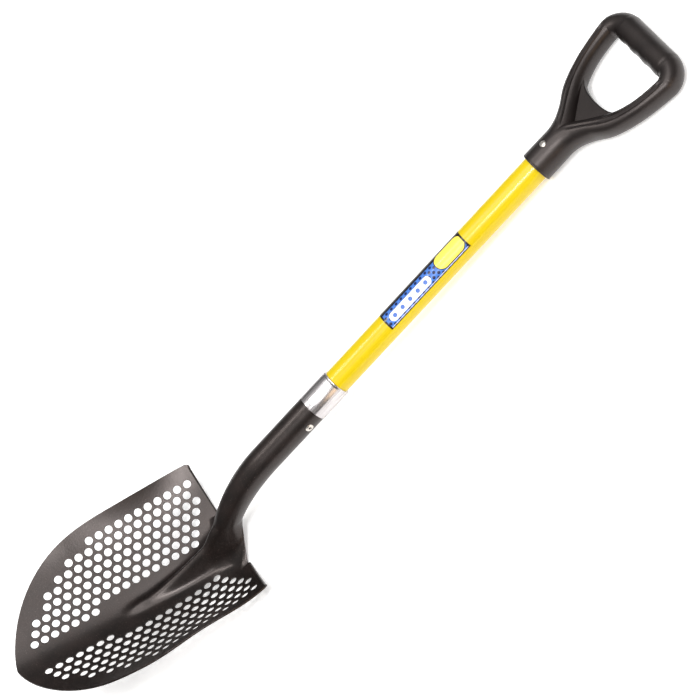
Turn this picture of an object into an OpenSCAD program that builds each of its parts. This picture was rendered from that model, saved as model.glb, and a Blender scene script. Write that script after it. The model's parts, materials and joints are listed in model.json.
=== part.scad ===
// Detecting shovel: a perforated round-point blade on a short fibreglass shaft with a D-grip.
// The shovel lies face up, resting on its heel and on the crossbar of the grip.
// X runs along the shaft towards the grip, Z is up, units are millimetres.

/* [Blade] */
// Length of the blade from the start of the hole pattern to the point
blade_len = 268; // [264:1:276]
// Half the width of the blade between its side edges
blade_half_w = 107; // [103:1:109]
// Thickness of the pressed steel sheet
sheet_t = 1.8; // [1.6:0.1:2.4]
// Lift of the blade above the line of the shaft, in degrees
blade_lift = 29.5; // [26:0.5:33]

/* [Sieve holes] */
// Diameter of a sieve hole
hole_d = 9.2; // [6:0.2:10]
// Distance between neighbouring holes
hole_pitch = 12.7; // [12.7:0.1:13]

/* [Shaft] */
// Outer diameter of the fibreglass shaft
shaft_d = 30; // [28:0.5:31]
// Wall of the fibreglass tube
shaft_wall = 3.2; // [2.5:0.1:4]
// Distance along the shaft where the steel socket ends and the collar begins
socket_end = 169; // [160:1:180]
// Length of the aluminium collar
collar_len = 40; // [25:1:60]
// Distance along the shaft where the moulded grip begins
grip_start = 525; // [480:5:560]

/* [Grip] */
// Width of the D-grip over its arms
grip_w = 130; // [124:1:140]
// Diameter of the crossbar that the hand holds
crossbar_d = 30; // [26:1:32]
// Length of the grip from its mouth to the far side of the crossbar
grip_len = 186; // [180:1:200]

/* [Label] */
// Length of the wrapped label
label_len = 124; // [60:1:140]
// How far round the shaft the label reaches, in degrees
label_wrap = 150; // [90:5:300]

/* [Hidden] */
$fn = 64;
eps = 0.01;

// Resting pose: the heel and the crossbar touch the ground
rest_tilt = 3.4;
rest_shift = [-222.008, 0, 56.67];

// Heel of the blade, measured from the shaft's own axis
heel_x = -37.2;
heel_z = -70.3;

// Socket: the steel tube that the sheet is rolled into
socket_d = shaft_d + 2 * sheet_t;
socket_bend_x = 92;
neck_bend_r = 164;
neck_bend = 37;
collar_d = socket_d + 1;

// Shaft and the plugs inside its ends
shaft_bottom_x = 96;
shaft_top_x = grip_start + 46;
shaft_core_d = shaft_d - 2 * shaft_wall;
shaft_plug_len = 104;
grip_plug_len = 70;

// Rivets
rivet_d = 5;
socket_rivet_x = 153;
grip_rivet_x = 549;
socket_rivet_head_d = 9.4;
grip_rivet_head_d = 8;
rivet_head_t = 1.6;
rivet_hole_d = 3;
rivet_hole_depth = 6;
washer_t = 1;
grip_washer_d = 11;

// Grip details
grip_socket_d = 37;
grip_socket_len = 45;
grip_bore_depth = shaft_top_x - grip_start;
grip_bar_x = grip_start + grip_len - crossbar_d / 2;
arm_w = 19;
arm_depth = 26;
arm_y = (grip_w - arm_w) / 2;
arm_end_y = arm_y - 20;
web_t = 9;
web_end_x = grip_start + 100;

// Label
label_t = 0.2;
label_x = 295;
label_from = 92;

function mix(a, b, k) = a + (b - a) * k;
function clamp(v, low, high) = max(low, min(high, v));
function smooth(v) = let (k = clamp(v, 0, 1)) k * k * (3 - 2 * k);

// ---------- Shape of the pressed sheet ----------
// s runs along the blade from the first holes to the point, y runs across it.

// Side edge of the blade at a station
shoulder_end = 105;
function edge_y(s) = let (k = clamp((s - shoulder_end) / (blade_len - shoulder_end), 0, 1))
    blade_half_w * pow(1 - pow(k, 2.5), 0.72);

// Upper edge of the blade: slightly raised towards the socket, with round shoulders
function top_s(u) = let (a = abs(u), corner = clamp((a - 0.92) / 0.08, 0, 1))
    -16 + 5 * a + 8 * (1 - sqrt(1 - corner * corner));

// Height of the dish
function dish(s, y) = let (a = abs(y))
    0.08 * a + 0.003 * y * y
    + 18 * exp(-(s + 10) / 55) * smooth(a / 24)
    + (7 * exp(-pow((s - 70) / 50, 2)) - 6 * smooth((s - 150) / 80)) * pow(a / 106, 4)
    - 2 * sin(180 * clamp(s / 240, 0, 1));

// Ridge over the hollow back, widest and highest at the heel
frog_end = 137;
function frog_height(s) = 40 * pow(clamp(1 - s / frog_end, 0, 1.12), 1.25) + 24 * smooth((24 - s) / 30);
function frog_half(s) = mix(13, 27, pow(clamp(1 - s / frog_end, 0, 1.12), 1.6));
function frog(s, y) = let (k = clamp(abs(y) / frog_half(s), 0, 1))
    max(0, frog_height(s) - dish(s, frog_half(s)) * 0.45) * (0.5 + 0.5 * cos(180 * pow(k, 1.15)));

function face_z(s, y) = dish(s, y) + frog(s, y);
function slope_s(s, y) = (face_z(s + 1, y) - face_z(s - 1, y)) / 2;
function slope_y(s, y) = (face_z(s, y + 1) - face_z(s, y - 1)) / 2;
function face_normal(s, y) = let (n = [-slope_s(s, y), -slope_y(s, y), 1]) n / norm(n);
function face_point(s, y, depth = 0) = [s, y, face_z(s, y)] - depth * face_normal(s, y);

// Distance across the flat blank is turned into a place on the pressed sheet
blank_step = 4;
function y_from_blank(s, t, y = 0) = t <= 0 ? y
    : let (step = min(blank_step, t), m = slope_dish(s, y + step / 2))
        y_from_blank(s, t - step, y + step / sqrt(1 + m * m));
function slope_dish(s, y) = (dish(s, y + 1) - dish(s, y - 1)) / 2;

rows_along = 20;
cols_across = 26;
function row_part(i) = 1 - pow(1 - i / rows_along, 1.25);
function col_part(j) = let (c = 2 * j / cols_across - 1) sign(c) * pow(abs(c), 1.15);
function station(i, u) = mix(top_s(u), blade_len - 1, min(0.997, row_part(i)));
function sheet_skin(depth) = [
    for (i = [0:rows_along], j = [0:cols_across])
        let (u = col_part(j), s = station(i, u)) face_point(s, u * edge_y(s), depth)
];

// Closed shell between two skins that have the same grid
module shell(front, back, rows, cols) {
    per = cols + 1;
    n = per * (rows + 1);
    function f(i, j) = i * per + j;
    function b(i, j) = n + f(i, j);
    polyhedron(
        points = concat(front, back),
        faces = concat(
            [for (i = [0:rows - 1], j = [0:cols - 1]) [f(i, j), f(i, j + 1), f(i + 1, j + 1)]],
            [for (i = [0:rows - 1], j = [0:cols - 1]) [f(i, j), f(i + 1, j + 1), f(i + 1, j)]],
            [for (i = [0:rows - 1], j = [0:cols - 1]) [b(i, j), b(i + 1, j + 1), b(i, j + 1)]],
            [for (i = [0:rows - 1], j = [0:cols - 1]) [b(i, j), b(i + 1, j), b(i + 1, j + 1)]],
            [for (j = [0:cols - 1]) [f(0, j), b(0, j), b(0, j + 1), f(0, j + 1)]],
            [for (j = [0:cols - 1]) [f(rows, j), f(rows, j + 1), b(rows, j + 1), b(rows, j)]],
            [for (i = [0:rows - 1]) [f(i, 0), f(i + 1, 0), b(i + 1, 0), b(i, 0)]],
            [for (i = [0:rows - 1]) [f(i, cols), b(i, cols), b(i + 1, cols), f(i + 1, cols)]]
        )
    );
}

// Puts the blade's own axes onto the shaft's axes
module on_blade() {
    translate([heel_x, 0, heel_z]) rotate([0, -(180 - blade_lift), 0]) mirror([0, 0, 1]) children();
}

// ---------- Neck: the socket bends down in an arc and ends under the ridge ----------
module neck() {
    translate([socket_bend_x, 0, -neck_bend_r]) rotate([90, 0, 0]) rotate([0, 0, 90])
        rotate_extrude(angle = neck_bend) translate([neck_bend_r, 0]) difference() {
            circle(d = socket_d);
            circle(d = shaft_d);
        }
}

// ---------- Sieve holes ----------
// The holes are punched in the flat blank on a triangular lattice, the same on each half.
row_gap = hole_pitch * sqrt(3) / 2;
inner_row_t = 31.7;
inner_row = 6;
first_hole = [0, 0.5, 0, 0.5, 1, 1.5, 2, 12.5];
last_hole = [10, 12.5, 14, 15.5, 16, 17.5, 18, 18.5];
punch_len = 16;

module punch(s, t) {
    y = y_from_blank(s, t);
    n = face_normal(s, y);
    translate(face_point(s, y)) rotate([0, acos(n[2]), atan2(n[1], n[0])])
        cylinder(d = hole_d, h = punch_len, center = true, $fn = 24);
}

module punches() {
    for (row = [0:len(first_hole) - 1], hole = [first_hole[row]:1:last_hole[row]])
        punch(hole * hole_pitch, inner_row_t + (inner_row - row) * row_gap);
}

// ---------- Parts, on the shaft's own axes ----------
module along_shaft(x) { translate([x, 0, 0]) rotate([0, 90, 0]) children(); }
module tube(x, length, outer_d, inner_d) {
    difference() {
        along_shaft(x) cylinder(d = outer_d, h = length);
        along_shaft(x - 1) cylinder(d = inner_d, h = length + 2);
    }
}
module across(x, d, length = 60) {
    translate([x, 0, 0]) rotate([90, 0, 0]) cylinder(d = d, h = length, center = true);
}
module upright(x, d, length = 60) {
    translate([x, 0, 0]) cylinder(d = d, h = length, center = true);
}
module at_rest() { translate(rest_shift) rotate([0, rest_tilt, 0]) children(); }

// Blade, ridge, neck and socket are one pressed and rolled sheet of steel
module blade_head() {
    color("#2c2624") at_rest() difference() {
        union() {
            on_blade() difference() {
                shell(sheet_skin(0), sheet_skin(sheet_t), rows_along, cols_across);
                punches();
                mirror([0, 1, 0]) punches();
            }
            neck();
            tube(socket_bend_x, socket_end - socket_bend_x, socket_d, shaft_d);
        }
        across(socket_rivet_x, rivet_d);
    }
}

module collar() {
    color("#c9c9cc") at_rest() tube(socket_end, collar_len, collar_d, shaft_d);
}

module shaft_tube() {
    color("#f2d60c") at_rest() difference() {
        tube(shaft_bottom_x, shaft_top_x - shaft_bottom_x, shaft_d, shaft_core_d);
        across(socket_rivet_x, rivet_d);
        upright(grip_rivet_x, rivet_d);
    }
}

// Hardwood plug that keeps the tube from being crushed in the socket
module shaft_plug() {
    color("#c8a878") at_rest() difference() {
        along_shaft(shaft_bottom_x) cylinder(d = shaft_core_d, h = shaft_plug_len);
        across(socket_rivet_x, rivet_d);
    }
}

module grip_plug() {
    color("#c8a878") at_rest() difference() {
        along_shaft(shaft_top_x - grip_plug_len) cylinder(d = shaft_core_d, h = grip_plug_len);
        upright(grip_rivet_x, rivet_d);
    }
}

// Tubular rivet: a factory head on one side, a rolled open end on the other
module socket_rivet() {
    seat = socket_d / 2;
    color("#d0ccc6") at_rest() difference() {
        union() {
            across(socket_rivet_x, rivet_d, socket_d);
            difference() {
                across(socket_rivet_x, socket_rivet_head_d, socket_d + 2 * rivet_head_t);
                across(socket_rivet_x, socket_rivet_head_d + 1, 2 * (seat - 1));
                along_shaft(socket_rivet_x - 20) cylinder(d = socket_d, h = 40);
            }
        }
        translate([socket_rivet_x, -seat, 0]) rotate([90, 0, 0])
            cylinder(d = rivet_hole_d, h = 2 * rivet_hole_depth, center = true);
    }
}

// One moulding: socket, two arms, web and crossbar
module d_grip() {
    color("#262326") at_rest() difference() {
        union() {
            along_shaft(grip_start) cylinder(d = grip_socket_d, h = grip_socket_len);
            translate([grip_start + grip_socket_len, 0, 0]) sphere(d = grip_socket_d);
            arm();
            mirror([0, 1, 0]) arm();
            across(grip_bar_x, crossbar_d, 2 * arm_end_y + eps);
            web();
        }
        along_shaft(grip_start - 1) cylinder(d = shaft_d, h = grip_bore_depth + 1);
        upright(grip_rivet_x, rivet_d);
        translate([grip_rivet_x, 0, grip_socket_d / 2 - 1]) cylinder(d = grip_rivet_head_d + 1, h = 5);
        translate([grip_rivet_x, 0, -grip_socket_d / 2 - 4]) cylinder(d = grip_washer_d, h = 5);
    }
}

// Arm: an oval section that follows a smooth line from the socket to the crossbar
function arm_line() = [
    [grip_start + 36, 0], [grip_start + 44, 6], [grip_start + 67, 22], [grip_start + 92, arm_y - 17],
    [grip_bar_x - 48, arm_y - 5], [grip_bar_x - 20, arm_y - 0.5], [grip_bar_x - 5, arm_y - 5],
    [grip_bar_x, arm_end_y], [grip_bar_x, arm_end_y - 14]
];
function spline(a, b, c, d, t) = 0.5 * (2 * b + (c - a) * t
    + (2 * a - 5 * b + 4 * c - d) * t * t
    + (3 * b - a - 3 * c + d) * t * t * t);
function arm_point(k) = let (p = arm_line(), i = min(len(p) - 4, floor(k)))
    spline(p[i], p[i + 1], p[i + 2], p[i + 3], k - i);
arm_rings = 22;
arm_sides = 20;
function arm_side(k) = let (d = arm_point(k + 0.02) - arm_point(k - 0.02)) [d[1], -d[0]] / norm(d);
function arm_swell(k, size) = mix(size, crossbar_d, smooth((k - 3.6) / 2)) / 2;
function arm_ring(k) =
    let (c = arm_point(k), n = arm_side(k), w = arm_swell(k, arm_w), h = arm_swell(k, arm_depth))
    [for (j = [0:arm_sides - 1]) let (a = 360 * j / arm_sides)
        [c[0] + n[0] * w * cos(a), c[1] + n[1] * w * cos(a), h * sin(a)]];

module arm() {
    last = len(arm_line()) - 3;
    points = [for (i = [0:arm_rings]) each arm_ring(mix(0.02, last - 0.02, i / arm_rings))];
    function f(i, j) = i * arm_sides + j % arm_sides;
    polyhedron(points = points, faces = concat(
        [[for (j = [arm_sides - 1:-1:0]) j]],
        [[for (j = [0:arm_sides - 1]) f(arm_rings, j)]],
        [for (i = [0:arm_rings - 1], j = [0:arm_sides - 1]) [f(i, j), f(i + 1, j + 1), f(i + 1, j)]],
        [for (i = [0:arm_rings - 1], j = [0:arm_sides - 1]) [f(i, j), f(i, j + 1), f(i + 1, j + 1)]]
    ));
}

// Web that fills the corner between the arms, with a hollow front edge
module web() {
    web_start_x = grip_start + 56;
    half = [
        [web_start_x, -eps], [web_end_x - 4, -eps], [web_end_x - 3, 12],
        [web_end_x, 24], [web_end_x - 4, 36], [web_start_x, 14]
    ];
    for (side = [0, 1]) mirror([0, side, 0]) translate([0, 0, -web_t / 2])
        linear_extrude(web_t) polygon(half);
}

// Solid rivet through grip, shaft and plug: domed head in front, clenched over a washer behind
module grip_rivet() {
    front = grip_socket_d / 2 - 1;
    color("#d8d8da") at_rest() translate([grip_rivet_x, 0, 0]) {
        cylinder(d = rivet_d, h = 2 * (front + washer_t), center = true);
        translate([0, 0, front]) dome(grip_rivet_head_d, rivet_head_t);
        translate([0, 0, -front - washer_t]) mirror([0, 0, 1]) dome(grip_rivet_head_d, rivet_head_t);
    }
}

module dome(d, h) {
    r = (d * d / 4 + h * h) / (2 * h);
    intersection() {
        translate([0, 0, h - r]) sphere(r = r);
        cylinder(d = d + 1, h = h + 1);
    }
}

module grip_rivet_washer() {
    seat_z = 1 - grip_socket_d / 2;
    color("#d8d8da") at_rest() translate([grip_rivet_x, 0, seat_z - washer_t]) difference() {
        cylinder(d = grip_washer_d - 1, h = washer_t);
        translate([0, 0, -1]) cylinder(d = rivet_d, h = washer_t + 2);
    }
}

// Printed film wrapped round the front of the shaft
module label() {
    color("#4f7fc0") at_rest() along_shaft(label_x) rotate([0, 0, label_from])
        rotate_extrude(angle = label_wrap) translate([shaft_d / 2, 0]) square([label_t, label_len]);
}

blade_head();
collar();
shaft_tube();
shaft_plug();
grip_plug();
socket_rivet();
d_grip();
grip_rivet();
grip_rivet_washer();
label();
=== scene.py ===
import json
import math
import bmesh
import bpy
from mathutils import Matrix, Vector


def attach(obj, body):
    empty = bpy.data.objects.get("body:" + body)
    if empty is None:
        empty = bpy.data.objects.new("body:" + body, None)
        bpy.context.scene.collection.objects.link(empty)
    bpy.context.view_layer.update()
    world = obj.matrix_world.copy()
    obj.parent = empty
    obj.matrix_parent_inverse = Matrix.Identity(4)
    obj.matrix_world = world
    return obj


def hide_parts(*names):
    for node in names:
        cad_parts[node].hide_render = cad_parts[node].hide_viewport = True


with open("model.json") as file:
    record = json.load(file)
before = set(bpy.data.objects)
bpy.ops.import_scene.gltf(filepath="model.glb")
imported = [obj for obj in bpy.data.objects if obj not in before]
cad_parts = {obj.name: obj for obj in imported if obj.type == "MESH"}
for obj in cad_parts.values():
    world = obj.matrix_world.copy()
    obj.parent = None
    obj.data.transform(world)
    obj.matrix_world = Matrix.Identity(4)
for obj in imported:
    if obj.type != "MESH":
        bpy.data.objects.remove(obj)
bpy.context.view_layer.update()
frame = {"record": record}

# Blade head: black baked paint over pressed carbon steel. One flat blank is punched with the
# sieve holes and pressed to a dish with a ridge down its middle, and its tongue is rolled into
# the socket that takes the shaft.

# The shovel lies face up on its heel and on the crossbar, so its shaft leans a little. Pieces
# are drawn in millimetres on the shaft's own axes: X along it towards the grip, zero near the
# heel of the blade, Z out of the dished face. One matrix then lays them down.
mounts = {m["name"]: m for m in frame["record"]["mounts"]}
clip_x = 472
millimetre = 0.001
clip_at = Vector(mounts["shaft_clip"]["pos_m"])
shaft_dir = Vector(mounts["shaft_clip"]["axis"]).normalized()
shaft_up = shaft_dir.cross(Vector((0, 1, 0))).normalized()
turn = Matrix((shaft_dir, Vector((0, 1, 0)), shaft_up)).transposed().to_4x4()
to_metres = Matrix.Scale(millimetre, 4) @ Matrix.Translation((-clip_x, 0, 0))
lay_down = Matrix.Translation(clip_at) @ turn @ to_metres


def finish_piece(name, bm, material, node_names, crease=math.radians(38)):
    """Lays a drawn piece in its place, parents it to the root body and hides the model's parts
    that it replaces.
    """
    bmesh.ops.transform(bm, matrix=lay_down, verts=bm.verts)
    mesh = bpy.data.meshes.new(name)
    bm.to_mesh(mesh)
    bm.free()
    mesh.materials.append(material)
    mesh.shade_smooth()
    mesh.set_sharp_from_angle(angle=crease)
    piece = bpy.data.objects.new(name, mesh)
    bpy.context.collection.objects.link(piece)
    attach(piece, "root")
    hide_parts(*node_names)
    return piece


# On the flat blank, s runs from the first hole towards the point and t runs across it.
sheet_t = 1.8
blade_len = 265.5
blank_half = 118.8
shoulder_end = 95
wing_top = -18.5
wing_slope = 5 / blank_half
wing_end = -17
tongue_half = 52.7
tongue_start = -24
tongue_end = -176

# Rows of holes are counted from the side edge inwards, and holes towards the point.
hole_d = 9.2
hole_margin = 0.7
hole_pitch = 12.7
row_gap = hole_pitch * math.sqrt(3) / 2
inner_row = 6
inner_row_t = 31.7
first_hole = (0, 0.5, 0, 0.5, 1, 1.5, 2, 12.5)
last_hole = (10, 12.5, 14, 15.5, 16, 17.5, 18, 18.5)

# The socket is straight, then bends down to the heel of the blade.
heel = Vector((-37.2, 0, -70.3))
blade_lift = math.radians(29.5)
socket_end = 169
socket_r = 15 + sheet_t
neck_r = 14.6
neck_len = 95
bend_start = 92
bend_r = 164
bend_angle = math.radians(37)
seam_angle = math.radians(179)
roll_ahead = 7
roll_reach = 16
roll_delay = 14
flat_end = -60

# The foot rest is turned back along the top of each wing, beside a notch at the shoulder.
lip_from = 47
lip_fade = 6
lip_start = 4.1
lip_r = 2.6
corner_r = 7
corner_fade = 5
notch_from = 45
notch_to = 50
notch_deep = 12
notch_fade = 4
relief_end = -46
split_from = -4
corner_zone = 22


def mix(a, b, k):
    return a + (b - a) * k


def clamp(v):
    return max(0.0, min(1.0, v))


def smooth(v):
    k = clamp(v)
    return k * k * (3 - 2 * k)


def side_t(s):
    """Half the width of the blank at a station along the blade."""
    k = clamp((s - shoulder_end) / (blade_len - shoulder_end))
    return blank_half * (1 - k ** 2.5) ** 0.72


def top_s(t):
    """Upper edge of the blank's wings, before the foot rest is turned back."""
    return wing_top + wing_slope * t


def dish(s, y):
    """Height of the dish: a hollow V, steeper beside the ridge, with a raised rim half way."""
    a = abs(y)
    hollow = 0.08 * math.hypot(a, 15) + 0.003 * y * y - 2 * math.sin(math.pi * clamp(s / 240))
    valley = 18 * math.exp(-(s + 10) / 55) * smooth(a / 24)
    rim = 7 * math.exp(-((s - 70) / 50) ** 2) - 6 * smooth((s - 150) / 80)
    return hollow + valley + rim * (a / 106) ** 4


def ridge(s, y):
    """Height of the ridge over the dish: blunt at its lower end, swelling towards the heel."""
    blunt_end = smooth((140 - s) / 34)
    swell = max(0.0, (100 - s) / 60) ** 1.3
    height = blunt_end * (5.5 + 22 * swell) + 24 * smooth((24 - s) / 30)
    half = mix(12, 27, clamp(1 - s / 137) ** 1.6)
    return height * math.exp(-(1.85 * y / half) ** 2)


def across(s, t, step=4.0):
    """Turns a distance across the blank into a distance across the pressed dish."""
    y = 0.0
    left = abs(t)
    while left > 0:
        d = min(step, left)
        slope = (dish(s, y + d / 2 + 1) - dish(s, y + d / 2 - 1)) / 2
        y += d / math.sqrt(1 + slope * slope)
        left -= d
    return math.copysign(y, t)


def on_blade(s, y, h):
    """A place on the blade's own lifted axes, as a place on the shaft's axes."""
    along = Vector((-math.cos(blade_lift), 0, math.sin(blade_lift)))
    out = Vector((math.sin(blade_lift), 0, math.cos(blade_lift)))
    return heel + along * s + out * h + Vector((0, y, 0))


def rolled(q, t):
    """A point of the tongue once it is rolled to a tube; q runs up from the heel."""
    bend_len = bend_r * bend_angle
    angle = bend_angle - min(q, bend_len) / bend_r
    sink = bend_r * (math.cos(angle) - 1)
    centre = Vector((bend_start - bend_r * math.sin(angle), 0, sink))
    centre.x += max(0.0, q - bend_len)
    out = Vector((-math.sin(angle), 0, math.cos(angle)))
    r = mix(neck_r, socket_r, smooth(q / neck_len))
    round_angle = seam_angle * t / tongue_half
    return centre + out * r * math.cos(round_angle) + Vector((0, r * math.sin(round_angle), 0))


def pressed(s, t):
    """Where a point of the blank ends up: on the foot rest, the dish or the rolled tongue."""
    a = abs(t)
    y = across(s, t)
    lip_zone = smooth((a - lip_from) / lip_fade) * smooth((blank_half - a) / corner_fade)
    turned_back = lip_zone * max(0.0, top_s(a) + lip_start - s)
    if turned_back > 0 and s > tongue_start:
        angle = turned_back / lip_r
        s += turned_back - lip_r * math.sin(angle)
        return on_blade(s, y, dish(s, y) - lip_r * (1 - math.cos(angle)))
    flat_s = max(s, flat_end)
    blade = on_blade(s, y, dish(flat_s, y) + ridge(flat_s, y))
    past_notch = smooth((a - notch_from) / notch_fade) * smooth((s - tongue_start) / notch_fade)
    roll_start = mix(roll_delay, 0, clamp(a / notch_from))
    k = smooth((roll_start - s) / roll_reach) * (1 - past_notch)
    if k == 0:
        return blade
    return blade.lerp(rolled(roll_ahead - s, t), k)


def hexagon_cell(punched):
    """One cell of the lattice: a hexagon with a round hole, or a plain hexagon."""
    bm = bmesh.new()
    cell_r = hole_pitch / math.sqrt(3)
    bmesh.ops.create_circle(bm, cap_ends=True, cap_tris=not punched, segments=6, radius=cell_r)
    bmesh.ops.subdivide_edges(bm, edges=bm.edges[:], cuts=3, use_grid_fill=True)
    if punched:
        face = bm.faces[:][-1]
        for ring_r in (hole_d / 2 + hole_margin, hole_d / 2):
            bmesh.ops.inset_region(bm, faces=[face], thickness=0.5, use_boundary=True)
            for v in face.verts:
                v.co = v.co.normalized() * ring_r
        bmesh.ops.delete(bm, geom=[face], context="FACES")
    mesh = bpy.data.meshes.new("cell")
    bm.to_mesh(mesh)
    bm.free()
    return mesh


# Half of the sheet is laid out as a lattice that is a little too big, and then trimmed.
spare = 8
blank = bmesh.new()
for punched in (True, False):
    cell = hexagon_cell(punched)
    for row in range(-2, 10):
        t = inner_row_t + (inner_row - row) * row_gap
        for k in range(-15, 23):
            step = k + 0.5 * (row % 2)
            s = step * hole_pitch
            on_wing = s > tongue_start - 2 and t < side_t(s - spare) + spare
            on_tongue = t < tongue_half + spare
            is_hole = 0 <= row < len(first_hole) and first_hole[row] <= step <= last_hole[row]
            if is_hole != punched or not (on_wing or on_tongue):
                continue
            first = len(blank.verts)
            blank.from_mesh(cell)
            blank.verts.ensure_lookup_table()
            bmesh.ops.translate(blank, verts=blank.verts[first:], vec=(s, t, 0))
    bpy.data.meshes.remove(cell)
bmesh.ops.remove_doubles(blank, verts=blank.verts, dist=0.02)


def trim(bm, at, normal, among=lambda c: True, drop=True):
    """Cuts the flat blank along a line and drops what lies beyond it."""
    faces = [f for f in bm.faces if among(f.calc_center_median())]
    geom = list({g for f in faces for g in (*f.verts, *f.edges, f)})
    bmesh.ops.bisect_plane(bm, geom=geom, plane_co=at, plane_no=normal, clear_outer=drop)


def cut_out(c):
    """True for the strip between tongue and wing, and for the notch at its inner end."""
    past_relief = c.x > relief_end + notch_from - c.y
    if c.y > tongue_half:
        return c.x < wing_end
    if c.y > notch_to:
        return past_relief and c.x < wing_end
    return past_relief and c.y > notch_from and c.x < -notch_deep


trim(blank, (0, 0, 0), (0, -1, 0))
trim(blank, (tongue_end, 0, 0), (-1, 0, 0))
side_start = -30
side_cuts = 28
point_len = blade_len - shoulder_end
stations = [blade_len - point_len * (1 - k / side_cuts) ** 2.2 for k in range(side_cuts + 1)]
side_points = [Vector((s, side_t(s), 0)) for s in (side_start, *stations)]
for a, b in zip(side_points, side_points[1:]):
    trim(blank, a, ((a - b).y, (b - a).x, 0))
trim(blank, (0, tongue_half, 0), (0, 1, 0), among=lambda c: c.x < split_from, drop=False)
trim(blank, (wing_top, 0, 0), (-1, wing_slope, 0), among=lambda c: c.y > tongue_half)
corner_at = Vector((top_s(blank_half) + corner_r, blank_half - corner_r, 0))
for degrees in (18, 36, 54, 72):
    angle = math.radians(degrees)
    out = Vector((-math.cos(angle), math.sin(angle), 0))
    trim(blank, corner_at + out * corner_r, out, among=lambda c: c.y > corner_at.y - corner_zone)
trim(blank, (0, notch_from, 0), (0, 1, 0), among=lambda c: c.x < 0, drop=False)
trim(blank, (0, notch_to, 0), (0, 1, 0), among=lambda c: side_start < c.x < 0, drop=False)
trim(blank, (-notch_deep, 0, 0), (-1, 0, 0),
     among=lambda c: notch_from < c.y < notch_to, drop=False)
trim(blank, (relief_end, notch_from, 0), (-1, -1, 0),
     among=lambda c: notch_from < c.y < notch_to + 3, drop=False)
trim(blank, (-notch_deep - 1, notch_to, 0), (-1, -0.8, 0),
     among=lambda c: c.x > tongue_start and notch_to < c.y < notch_to + 7)
scrap = [f for f in blank.faces if cut_out(f.calc_center_median())]
bmesh.ops.delete(blank, geom=scrap, context="FACES")
half_sheet = blank.verts[:] + blank.edges[:] + blank.faces[:]
bmesh.ops.mirror(blank, geom=half_sheet, axis="Y", merge_dist=0.001)
bmesh.ops.remove_doubles(blank, verts=blank.verts, dist=0.01)
# The steel's thickness goes behind the drawn face, so the blank faces down before pressing.
bmesh.ops.recalc_face_normals(blank, faces=blank.faces)
if sum(f.normal.z for f in blank.faces) > 0:
    bmesh.ops.reverse_faces(blank, faces=blank.faces)
for v in blank.verts:
    v.co = pressed(v.co.x, v.co.y)


def to_linear(code):
    """An sRGB hex colour as the linear values that a shader takes."""
    parts = [int(code[i:i + 2], 16) / 255 for i in (1, 3, 5)]
    return [p / 12.92 if p <= 0.04045 else ((p + 0.055) / 1.055) ** 2.4 for p in parts] + [1]


def add(material, kind, values=None, links=None, **settings):
    """Adds a shader node with its settings, input values and links from (node, output) pairs."""
    node = material.node_tree.nodes.new(kind)
    for key, value in settings.items():
        setattr(node, key, value)
    for key, value in (values or {}).items():
        node.inputs[key].default_value = value
    for key, (source, output) in (links or {}).items():
        material.node_tree.links.new(source.outputs[output], node.inputs[key])
    return node


def new_material(name):
    material = bpy.data.materials.new(name)
    material.use_nodes = True
    return material, material.node_tree.nodes["Principled BSDF"]


def connect(material, source, output, shader, socket):
    material.node_tree.links.new(source.outputs[output], shader.inputs[socket])


def shaft_place(material, stretch=(1, 1, 1)):
    """Object coordinates in millimetres on the shaft's axes, stretched along each axis."""
    coords = add(material, "ShaderNodeTexCoord")
    lean = math.atan2(shaft_dir.z, shaft_dir.x)
    level = add(material, "ShaderNodeMapping", {"Rotation": (0, lean, 0)},
                {"Vector": (coords, "Object")})
    scale = tuple(k / millimetre for k in stretch)
    return add(material, "ShaderNodeMapping", {"Scale": scale}, {"Vector": (level, "Vector")})


def two_tones(material, grain, dark, light, low=0.3, high=0.7):
    """Colours between two tones as the grain goes from low to high."""
    ramp = add(material, "ShaderNodeMapRange", {"From Min": low, "From Max": high},
               {"Value": (grain, "Fac")})
    tones = {6: to_linear(dark), 7: to_linear(light)}
    return add(material, "ShaderNodeMix", tones, {0: (ramp, "Result")}, data_type="RGBA")


def dress(material, shader, tone, grain, relief_mm):
    """Gives the shader its colour, and the fine relief of its grain in real millimetres."""
    values = {"Strength": 1.0, "Distance": relief_mm * millimetre}
    relief = add(material, "ShaderNodeBump", values, {"Height": (grain, "Fac")})
    connect(material, tone, 2, shader, "Base Color")
    connect(material, relief, "Normal", shader, "Normal")


# Baked paint over steel: a soft orange peel blurs its reflections, cloudy patches change its
# gloss and its faint brown cast, and a few dust specks show on its dark face.
peel_mm = 1.4
patch_mm = 20
dust_mm = 1.1
baked_paint, shader = new_material("black_baked_paint")
place = shaft_place(baked_paint)
peel = add(baked_paint, "ShaderNodeTexNoise", {"Scale": 1 / peel_mm, "Detail": 3},
           {"Vector": (place, "Vector")})
patches = add(baked_paint, "ShaderNodeTexNoise", {"Scale": 1 / patch_mm, "Detail": 6},
              {"Vector": (place, "Vector")})
dust = add(baked_paint, "ShaderNodeTexNoise", {"Scale": 1 / dust_mm, "Detail": 8},
           {"Vector": (place, "Vector")})
tone = two_tones(baked_paint, patches, "#0d0a09", "#1a1311", low=0.35)
speck = add(baked_paint, "ShaderNodeMapRange", {"From Min": 0.62, "From Max": 0.8},
            {"Value": (dust, "Fac")})
dusty = add(baked_paint, "ShaderNodeMix", {7: to_linear("#5c504b")},
            {0: (speck, "Result"), 6: (tone, 2)}, data_type="RGBA")
dull = add(baked_paint, "ShaderNodeMapRange", {"To Min": 0.26, "To Max": 0.4},
           {"Value": (patches, "Fac")})
connect(baked_paint, dull, "Result", shader, "Roughness")
shader.inputs["Specular Tint"].default_value = to_linear("#fff2ee")
dress(baked_paint, shader, dusty, peel, 0.12)

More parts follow.
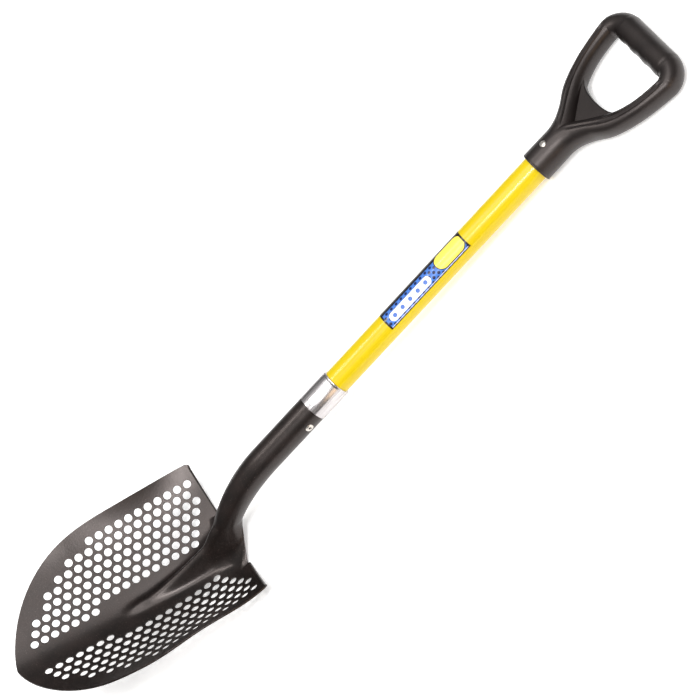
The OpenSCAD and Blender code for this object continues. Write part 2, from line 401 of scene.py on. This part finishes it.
head = finish_piece("blade_head_pressed", blank, baked_paint, ["blade_head"],
                    crease=math.pi)
wall = head.modifiers.new("sheet", "SOLIDIFY")
wall.thickness = sheet_t * millimetre
wall.offset = -1
wall.use_even_offset = True
edge = head.modifiers.new("edge", "BEVEL")
edge.width = 0.35 * millimetre
edge.segments = 2
edge.limit_method = "ANGLE"
edge.angle_limit = math.radians(50)

# Collar: a short drawn aluminium sleeve, slipped over the shaft above the steel socket. Its
# upper rim is turned in to a small bright bead so that it does not cut the fibreglass.
shaft_r = 15
collar_len = 40
collar_r = socket_r + 0.5
bead_r = 0.7
groove_deep = 0.35
turn_steps = 96


def turned(profile, loop=True):
    """Turns a profile of (along, radius) points round the shaft's axis."""
    bm = bmesh.new()
    points = [bm.verts.new((a, 0, r)) for a, r in profile]
    ends = points[1:] + points[:1] if loop else points[1:]
    edges = [bm.edges.new(pair) for pair in zip(points, ends)]
    bmesh.ops.spin(bm, geom=points + edges, axis=(1, 0, 0), cent=(0, 0, 0),
                   angle=math.tau, steps=turn_steps, use_merge=True)
    bmesh.ops.remove_doubles(bm, verts=bm.verts, dist=0.001)
    bmesh.ops.recalc_face_normals(bm, faces=bm.faces)
    return bm


def arc(centre, radii, start, end, steps):
    """Points of a round stretch of a profile; zero degrees points away from the axis."""
    angles = [math.radians(mix(start, end, k / steps)) for k in range(steps + 1)]
    return [(centre[0] + radii[0] * math.sin(a), centre[1] + radii[1] * math.cos(a))
            for a in angles]


rim = socket_end + collar_len
bead = arc((rim - bead_r, collar_r - bead_r), (bead_r, bead_r), 0, 90, 3)
groove = [(rim - 3.4, collar_r), (rim - 2.9, collar_r - groove_deep), (rim - 2.4, collar_r)]
foot = [(socket_end, shaft_r), (socket_end, collar_r - 0.4), (socket_end + 0.4, collar_r)]
sleeve = turned([*foot, *groove, *bead, (rim, shaft_r)])

# Drawn aluminium: the die leaves fine streaks along the sleeve, bright and dull side by side.
streak_mm = 0.7
aluminium, shader = new_material("drawn_aluminium")
place = shaft_place(aluminium, (0.02, 1, 1))
streaks = add(aluminium, "ShaderNodeTexNoise", {"Scale": 1 / streak_mm, "Detail": 5},
              {"Vector": (place, "Vector")})
tone = two_tones(aluminium, streaks, "#a09c9e", "#d8d4d4")
polish = add(aluminium, "ShaderNodeMapRange", {"To Min": 0.16, "To Max": 0.4},
             {"Value": (streaks, "Fac")})
connect(aluminium, polish, "Result", shader, "Roughness")
shader.inputs["Metallic"].default_value = 1
dress(aluminium, shader, tone, streaks, 0.05)
finish_piece("collar_drawn", sleeve, aluminium, ["collar"])

# Shaft: a pultruded fibreglass tube, yellow through and through. It is pushed into the socket
# at one end and into the grip at the other, and riveted at both.
shaft_bottom = 96
shaft_top = 571
shaft_core_r = 11.8
cut_edge = 0.5

outside = [(shaft_bottom, shaft_r - cut_edge), (shaft_bottom + cut_edge, shaft_r),
           (shaft_top - cut_edge, shaft_r), (shaft_top, shaft_r - cut_edge)]
tube = turned([*outside, (shaft_top, shaft_core_r), (shaft_bottom, shaft_core_r)])

# Pultruded fibreglass: glass strands run straight along the tube under a thin glossy resin
# skin, and show as faint lengthwise stripes in the yellow.
strand_mm = 1.1
fibreglass, shader = new_material("yellow_pultruded_fibreglass")
place = shaft_place(fibreglass, (0.012, 1, 1))
strands = add(fibreglass, "ShaderNodeTexNoise", {"Scale": 1 / strand_mm, "Detail": 6},
              {"Vector": (place, "Vector")})
tone = two_tones(fibreglass, strands, "#caae00", "#d4bc00")
shader.inputs["Roughness"].default_value = 0.34
shader.inputs["Specular IOR Level"].default_value = 0.3
shader.inputs["Coat Weight"].default_value = 0.2
shader.inputs["Coat Roughness"].default_value = 0.08
dress(fibreglass, shader, tone, strands, 0.06)
finish_piece("shaft_pultruded", tube, fibreglass, ["shaft_tube"])

# Plugs: two turned hardwood dowels, driven into the ends of the tube so that the rivets cannot
# crush it. They are only seen from the ends.
shaft_plug_len = 104
grip_plug_len = 70
plug_edge = 1

# Turned hardwood: pale, dry and matt, with long grain that wanders a little.
grain_mm = 1.7
hardwood, shader = new_material("turned_hardwood")
place = shaft_place(hardwood, (0.03, 1, 1))
grain = add(hardwood, "ShaderNodeTexNoise",
            {"Scale": 1 / grain_mm, "Detail": 8, "Distortion": 0.4}, {"Vector": (place, "Vector")})
tone = two_tones(hardwood, grain, "#a97f4d", "#d3b07c")
shader.inputs["Roughness"].default_value = 0.7
dress(hardwood, shader, tone, grain, 0.1)

for name, start, length in (("shaft_plug", shaft_bottom, shaft_plug_len),
                            ("grip_plug", shaft_top - grip_plug_len, grip_plug_len)):
    end = start + length
    lower = [(start, 0), (start, shaft_core_r - plug_edge), (start + plug_edge, shaft_core_r)]
    upper = [(end - plug_edge, shaft_core_r), (end, shaft_core_r - plug_edge), (end, 0)]
    finish_piece(name + "_turned", turned(lower + upper, loop=False), hardwood, [name])

# Socket rivet: a tubular steel rivet across the socket. One side shows its rolled open end, the
# other its factory head.
socket_rivet_at = 153
rivet_r = 2.5
head_r = 4.7
head_t = 1.6
bore_r = 1.5
roll_half = 0.5
seat = socket_r - 0.7

# Plated steel: bright and nearly white, with small scuffs that dull it here and there.
scuff_mm = 0.8
plated, shader = new_material("bright_plated_steel")
place = shaft_place(plated)
scuff = add(plated, "ShaderNodeTexNoise", {"Scale": 1 / scuff_mm, "Detail": 6},
            {"Vector": (place, "Vector")})
tone = two_tones(plated, scuff, "#a8a199", "#e6e2dc")
shine = add(plated, "ShaderNodeMapRange", {"To Min": 0.15, "To Max": 0.45},
            {"Value": (scuff, "Fac")})
connect(plated, shine, "Result", shader, "Roughness")
shader.inputs["Metallic"].default_value = 1
dress(plated, shader, tone, scuff, 0.03)


def rivet(name, node_name, profile, at, axis, loop=False):
    """Turns a rivet and sets its axis across the shaft."""
    bm = turned(profile, loop)
    swing = Vector((1, 0, 0)).rotation_difference(Vector(axis)).to_matrix().to_4x4()
    bmesh.ops.transform(bm, matrix=Matrix.Translation((at, 0, 0)) @ swing, verts=bm.verts)
    finish_piece(name, bm, plated, [node_name])


roll_at = seat + head_t - roll_half
rolled_end = [(seat - 2, 0), (seat - 2, bore_r), (roll_at, bore_r + 0.1)]
rolled_end += arc((roll_at, bore_r + 1), (roll_half, 0.9), 144, 36, 3)
rolled_end += [(seat + 0.5, head_r), (seat, head_r - 0.1), (seat, rivet_r)]
dome_end = [(-seat, rivet_r), (-seat, head_r - 0.1), (-seat - 0.4, head_r)]
dome_end += arc((-seat - 0.4, 0), (0.4 - head_t, head_r), 15, 90, 5)
rivet("socket_rivet_tubular", "socket_rivet", rolled_end + dome_end, socket_rivet_at, (0, -1, 0))

# D-grip: one injection moulding in black polypropylene. A socket splits into two arms with a
# thin web between them, and a round crossbar with shallow finger waves joins the arms. Each arm
# has two rails on its front and back.
mouth = 525
mouth_r = 18.5
bar_at = 695.8
sleeve_end = 38
sleeve_step = 0.5
wave_pitch = 21
wave_deep = 0.9
rail_off = 2.5
rail_half = 0.9
rail_high = 1.1
arm_half_w = 9.6
arm_squareness = 2.3
bend_at = (mouth + 154, 38.5)
bend_line_r = bar_at - bend_at[0]
bend_steps = 5
line_steps = 8

# Each station: place of the arm's centre along and across, half its width, half its depth.
bend = [(*place, 10.2 + 0.86 * k, 13.2 + 0.26 * k)
        for k, place in enumerate(arc(bend_at, (bend_line_r, bend_line_r), 0, 90, bend_steps))]
arm_line = (
    (mouth + 3, 0, 18.5, 18.5), (mouth + 22, 0, 18.4, 18.4), (mouth + 38, 0, 18.4, 18.2),
    (mouth + 48, 3.5, 17.6, 17.2), (mouth + 56, 9, 16.2, 16), (mouth + 65, 16.5, 14.6, 15),
    (mouth + 75, 25.5, 13, 14.2), (mouth + 86, 34.3, 11.4, 13.6), (mouth + 99, 42, 10.1, 13.2),
    (mouth + 117, 48.8, 9.5, 13), (mouth + 136, 53, 9.6, 13), *bend,
    (bar_at, 26, 14.5, 14.5), (bar_at, 14, 14.5, 14.5), (bar_at, 0, 14.5, 14.5))


def curve(points, k):
    """Smooth curve through the points; k counts the stations."""
    i = min(int(k), len(points) - 2)
    f = k - i
    a, b, c, d = (points[max(0, min(len(points) - 1, i + j))] for j in (-1, 0, 1, 2))
    return [0.5 * (2 * q + (r - p) * f + (2 * p - 5 * q + 4 * r - s) * f * f
                   + (3 * q - p - 3 * r + s) * f ** 3)
            for p, q, r, s in zip(a, b, c, d)]


def arm_section(k, angles):
    """Half section of the moulding at a station, cut off at the middle plane."""
    along, across_at, half_w, half_d = curve(arm_line, k)
    ahead = curve(arm_line, min(k + 0.05, len(arm_line) - 1))
    behind = curve(arm_line, max(k - 0.05, 0))
    way = Vector((ahead[0] - behind[0], ahead[1] - behind[1])).normalized()
    up_arm = along - mouth
    to_bar = bar_at - along
    on_bar = smooth((12 - to_bar) / 10)
    square_to_way = Vector((-way.y, way.x))
    outer = Vector((0, 1)).lerp(square_to_way, smooth((up_arm - 62) / 42)).normalized()
    squareness = mix(2, arm_squareness, smooth((up_arm - 50) / 30) * (1 - on_bar))
    rails = rail_high * smooth((up_arm - 44) / 16) * (1 - smooth((26 - to_bar) / 14))
    last_angle = math.pi
    if on_bar < 0.5 and across_at < outer.y * half_w:
        last_angle = math.acos(-((across_at / (outer.y * half_w)) ** (squareness / 2)))
    section = []
    for angle in angles:
        kept_angle = math.copysign(min(abs(angle), last_angle), angle)
        c, d = math.cos(kept_angle), math.sin(kept_angle)
        w = half_w * math.copysign(abs(c) ** (2 / squareness), c)
        z = half_d * math.copysign(abs(d) ** (2 / squareness), d)
        if up_arm > 150 and across_at < sleeve_end:
            swell = sleeve_step * smooth((sleeve_end - across_at) / 1.2)
            wave = 0.5 + 0.5 * math.cos(math.tau * across_at / wave_pitch)
            w += swell * c + wave_deep * clamp(-c) ** 2 * wave
            z += swell * d
        if abs(d) > 0.5 and rails > 0:
            for side in (-rail_off, rail_off):
                z += math.copysign(rails * smooth(1 - abs(w - side) / rail_half), z)
        y = max(0.0, across_at + outer.y * w)
        section.append(Vector((along + outer.x * w, y, z)))
    return section


def skin(bm, rings):
    """Faces between each two neighbouring rings of points."""
    rows = [[bm.verts.new(p) for p in ring] for ring in rings]
    for row, following in zip(rows, rows[1:]):
        for i in range(len(row) - 1):
            bm.faces.new((row[i], row[i + 1], following[i + 1], following[i]))


def arm_angles():
    """Even steps round the section, with finer ones where the rails stand."""
    even = [math.pi * (k / 24 - 1) for k in range(49)]
    fine = []
    for side in (-rail_off, rail_off):
        for part in (-1, -0.6, -0.3, 0, 0.3, 0.6, 1):
            w = (side + part * rail_half) / arm_half_w
            at = math.acos(math.copysign(abs(w) ** (arm_squareness / 2), w))
            fine += [at, -at]
    rail_zone = math.acos(0.32)
    kept = [a for a in even
            if not rail_zone < abs(a) < math.pi - rail_zone or abs(abs(a) - math.pi / 2) < 0.01]
    return sorted(kept + fine)


grip = bmesh.new()
angles = arm_angles()
mouth_section = arm_section(0, angles)
bore_end = 46
lip = ((bore_end, 0), (bore_end, shaft_r + 0.1), (0.6, shaft_r + 0.1), (0.15, shaft_r + 0.3),
       (0, shaft_r + 0.7), (0, mouth_r - 0.5), (0.2, mouth_r - 0.1), (0.7, mouth_r + 0.15),
       (2, mouth_r + 0.15), (2.4, mouth_r - 0.15))
rings = [[Vector((mouth + a, p.y / mouth_r * r, p.z / mouth_r * r)) for p in mouth_section]
         for a, r in lip]
steps = (len(arm_line) - 1) * line_steps
rings += [arm_section(k / line_steps, angles) for k in range(steps + 1)]
skin(grip, rings)
bmesh.ops.remove_doubles(grip, verts=grip.verts, dist=0.02)
flat = [f for f in grip.faces if all(abs(v.co.y) < 0.001 for v in f.verts)]
bmesh.ops.delete(grip, geom=flat, context="FACES")

# The web's root follows the arms, and its front edge is a round-nosed hollow curve.
web_half_t = 4.3
web_half_w = 33
web_root = mouth + 58
web_front = mouth + 92.5
web_round = 1.8
web_steps = 14
web_rings = []
for k in range(web_steps + 1):
    y = web_half_w * k / web_steps
    root = web_root + 1.25 * max(0.0, y - 13.5)
    end = web_front + 0.0055 * y * y + 3 * max(0.0, (y - 20) / 12) ** 2
    nose = (end - web_round, web_half_t - web_round)
    shape = [(root, web_half_t), *arc(nose, (web_round, web_round), 0, 90, 4)]
    shape += [(a, -z) for a, z in reversed(shape)]
    web_rings.append([Vector((a, y, z)) for a, z in [*shape, shape[0]]])
skin(grip, web_rings)
half_grip = grip.verts[:] + grip.edges[:] + grip.faces[:]
bmesh.ops.mirror(grip, geom=half_grip, axis="Y", merge_dist=0.001)
bmesh.ops.remove_doubles(grip, verts=grip.verts, dist=0.01)
bmesh.ops.holes_fill(grip, edges=[e for e in grip.edges if e.is_boundary], sides=0)
bmesh.ops.recalc_face_normals(grip, faces=grip.faces)

# Moulded polypropylene: a spark-eroded mould leaves a fine matt grain, and handling and the
# flow of the plastic leave broad patches that are a little glossier.
spark_mm = 0.6
flow_mm = 25
moulded, shader = new_material("black_moulded_polypropylene")
place = shaft_place(moulded)
spark = add(moulded, "ShaderNodeTexNoise", {"Scale": 1 / spark_mm, "Detail": 4},
            {"Vector": (place, "Vector")})
flow = add(moulded, "ShaderNodeTexNoise", {"Scale": 1 / flow_mm, "Detail": 5},
           {"Vector": (place, "Vector")})
tone = two_tones(moulded, flow, "#110e0e", "#1b1716")
worn = add(moulded, "ShaderNodeMapRange", {"To Min": 0.32, "To Max": 0.46},
           {"Value": (flow, "Fac")})
connect(moulded, worn, "Result", shader, "Roughness")
shader.inputs["Specular Tint"].default_value = to_linear("#fff2ee")
dress(moulded, shader, tone, spark, 0.08)
finish_piece("d_grip_moulded", grip, moulded, ["d_grip"])

# Grip rivet and its washer: a solid plated steel rivet from front to back through grip, tube
# and plug. Its domed head is in front, and its shank is clenched over a stamped washer behind.
grip_rivet_at = 549
front = mouth_r - 1
grip_head_r = 4
dome = [(front, rivet_r), (front, grip_head_r)]
dome += arc((front + 0.3, 0), (1.6, grip_head_r), 15, 90, 5)
clench = [(-a, r) for a, r in reversed(dome)]
rivet("grip_rivet_solid", "grip_rivet", clench + dome, grip_rivet_at, (0, 0, 1))

washer_r = 5
washer_t = 1
washer_edge = 0.2
washer_top = washer_t - front
washer = [(-front, rivet_r), (-front, washer_r - washer_edge), (washer_edge - front, washer_r),
          (washer_top - washer_edge, washer_r), (washer_top, washer_r - washer_edge),
          (washer_top, rivet_r)]
rivet("grip_rivet_washer_stamped", "grip_rivet_washer", washer, grip_rivet_at, (0, 0, 1),
      loop=True)

# Label: a printed polyester film stuck round the front of the shaft. The print is a blue field
# with dark dots, a dark edge, a white stripe and a pale yellow panel; it carries no words.
label_from = 295
label_len = 124
label_start = math.radians(-88)
label_wrap = math.radians(150)
glue_r = shaft_r + 0.02
film_r = shaft_r + 0.2

film = bmesh.new()
label_end = label_from + label_len
outline = [(label_from, glue_r), (label_from, film_r), (label_end, film_r), (label_end, glue_r)]
points = [film.verts.new((a, -r * math.sin(label_start), r * math.cos(label_start)))
          for a, r in outline]
edges = [film.edges.new(pair) for pair in zip(points, points[1:] + points[:1])]
bmesh.ops.spin(film, geom=points + edges, axis=(1, 0, 0), cent=(0, 0, 0),
               angle=label_wrap, steps=60)
bmesh.ops.holes_fill(film, edges=[e for e in film.edges if e.is_boundary], sides=0)
bmesh.ops.recalc_face_normals(film, faces=film.faces)
print_at = film.loops.layers.uv.new("print_mm")
for f in film.faces:
    for loop in f.loops:
        x, y, z = loop.vert.co
        loop[print_at].uv = (x - label_from, film_r * (math.atan2(-y, z) - label_start))


def inside_box(material, place, centre, half, corner):
    """One inside a box with rounded corners, zero outside; sizes in millimetres."""
    off = add(material, "ShaderNodeVectorMath", {1: (*centre, 0)}, {0: (place, 0)},
              operation="SUBTRACT")
    size = add(material, "ShaderNodeVectorMath", {}, {0: (off, 0)}, operation="ABSOLUTE")
    inner = (half[0] - corner, half[1] - corner, 1)
    past = add(material, "ShaderNodeVectorMath", {1: inner}, {0: (size, 0)}, operation="SUBTRACT")
    beyond = add(material, "ShaderNodeVectorMath", {1: (0, 0, 0)}, {0: (past, 0)},
                 operation="MAXIMUM")
    far = add(material, "ShaderNodeVectorMath", {}, {0: (beyond, 0)}, operation="LENGTH")
    fade = {"From Min": corner + 0.12, "From Max": corner - 0.12}
    return add(material, "ShaderNodeMapRange", fade, {"Value": (far, "Value")})


def dots(material, place, pitch, offset, r):
    """One inside the dots of a square lattice, zero outside."""
    moved = add(material, "ShaderNodeVectorMath", {1: (offset, offset, 0)}, {0: (place, 0)},
                operation="ADD")
    cell = add(material, "ShaderNodeVectorMath", {1: (pitch, pitch, 1), 2: (0, 0, -1)},
               {0: (moved, 0)}, operation="WRAP")
    return inside_box(material, cell, (pitch / 2, pitch / 2), (r, r), r)


def over(material, below, mask, colour):
    """Prints a colour over what is below it, where the mask is one."""
    links = {0: (mask, "Result"), 6: below}
    return (add(material, "ShaderNodeMix", {7: to_linear(colour)}, links, data_type="RGBA"), 2)


# Printed film: flat inks under a smooth, fairly glossy clear film. The dots and lines are as
# large as they are on the real print, and the words are replaced by a plain stripe and a panel.
dot_pitch = 7.6
dot_r = 1.8
middle = label_len / 2
wrap_mm = film_r * label_wrap
# Each printed patch: its middle, its half size, its corner radius and its ink.
fine_line = ((middle, 38.2), (middle, 0.3), 0.2, "#e8e6f2")
stripe = ((38, 31), (31, 5.2), 5, "#f6f6f8")
stripe_dots = [((14 + 12 * k, 31), (2.5, 2.5), 2.4, "#4a6fbf") for k in range(5)]
dark_band = ((middle, 6), (middle + 4, 14.5), 0.3, "#140d0c")
panel_edge = ((102.5, 27), (21.2, 10.6), 10, "#2a1c14")
panel = ((102.5, 27), (20.2, 9.6), 9, "#f8e45c")
end_edges = [((at, 20), (2.2, 30), 0.3, "#161010") for at in (0, label_len)]
last_edge = ((middle, wrap_mm), (middle + 4, 0.7), 0.3, "#3a2614")

printed, shader = new_material("printed_label_film")
sheet = add(printed, "ShaderNodeUVMap", uv_map="print_mm")
field = add(printed, "ShaderNodeRGB")
field.outputs[0].default_value = to_linear("#4474c6")
ink = (field, 0)
for offset in (0, dot_pitch / 2):
    ink = over(printed, ink, dots(printed, sheet, dot_pitch, offset, dot_r), "#0d1a4a")
for centre, half, corner, colour in (fine_line, stripe, *stripe_dots, dark_band, panel_edge,
                                     panel, *end_edges, last_edge):
    ink = over(printed, ink, inside_box(printed, sheet, centre, half, corner), colour)
connect(printed, *ink, shader, "Base Color")
shader.inputs["Roughness"].default_value = 0.3
shader.inputs["Specular IOR Level"].default_value = 0.35
shader.inputs["Coat Weight"].default_value = 0.25
finish_piece("label_printed", film, printed, ["label"])

# Camera: a long lens that looks down on the shovel from the side of the blade, with the grip at
# the upper right. Its place and its directions are on the shaft's own axes.
camera = bpy.data.objects.new("camera", bpy.data.cameras.new("camera"))
bpy.context.collection.objects.link(camera)
bpy.context.scene.camera = camera
camera.data.lens = 120.2
camera.data.sensor_width = 36
camera.data.clip_end = 20
camera_at = lay_down @ Vector((765.1, -1590.4, 1887.8))
look = (lay_down.to_3x3() @ Vector((-0.2064, 0.6343, -0.7450))).normalized()
upwards = (lay_down.to_3x3() @ Vector((0.7170, 0.6160, 0.3260))).normalized()
right = look.cross(upwards).normalized()
facing = Matrix((right, right.cross(look), -look)).transposed().to_4x4()
camera.matrix_world = Matrix.Translation(camera_at) @ facing

# Floor: a wide sheet of white studio paper, lit so that it stays white under the shovel.
# Matt white paper has no grain that shows from here, so its values are plain.
floor_half = 6
floor_bm = bmesh.new()
bmesh.ops.create_grid(floor_bm, x_segments=2, y_segments=2, size=floor_half)
floor_mesh = bpy.data.meshes.new("floor")
floor_bm.to_mesh(floor_mesh)
floor_bm.free()
paper, shader = new_material("white_paper_sweep")
shader.inputs["Base Color"].default_value = (0.9, 0.9, 0.9, 1)
shader.inputs["Roughness"].default_value = 0.9
shader.inputs["Emission Color"].default_value = (1, 1, 1, 1)
shader.inputs["Emission Strength"].default_value = 0.45
floor_mesh.materials.append(paper)
floor = bpy.data.objects.new("floor", floor_mesh)
bpy.context.collection.objects.link(floor)

# Studio light: a white room that is darker near the ground, a key lamp, a wide overhead lamp, a
# small one that puts the sheen on the neck, and a weak warm one that lifts the near side.
world = bpy.data.worlds.new("studio")
bpy.context.scene.world = world
world.use_nodes = True
sky = add(world, "ShaderNodeTexCoord")
height = add(world, "ShaderNodeSeparateXYZ", {}, {"Vector": (sky, "Generated")})
room_light = {"From Min": 0.1, "From Max": 0.9, "To Min": 0.08, "To Max": 0.55}
glow = add(world, "ShaderNodeMapRange", room_light, {"Value": (height, "Z")})
background = world.node_tree.nodes["Background"]
background.inputs["Color"].default_value = (1, 1, 1, 1)
connect(world, glow, "Result", background, "Strength")
for name, at, size, power, colour in (
        ("key", (0.3, -1.15, 2.2), 0.5, 35, (1, 1, 1)),
        ("overhead", (0.8, 0.2, 2.4), 1.8, 34, (1, 1, 1)),
        ("neck_sheen", (-0.3, 0.35, 2.1), 0.45, 9, (1, 0.97, 0.94)),
        ("warm_fill", (0.9, -2.2, 0.8), 1.0, 8, (1, 0.72, 0.45))):
    lamp = bpy.data.objects.new(name, bpy.data.lights.new(name, "AREA"))
    lamp.data.size = size
    lamp.data.energy = power
    lamp.data.color = colour
    lamp.location = at
    lamp.rotation_euler = (-Vector(at)).to_track_quat("-Z", "Y").to_euler()
    bpy.context.collection.objects.link(lamp)
bpy.context.scene.view_settings.view_transform = "Standard"
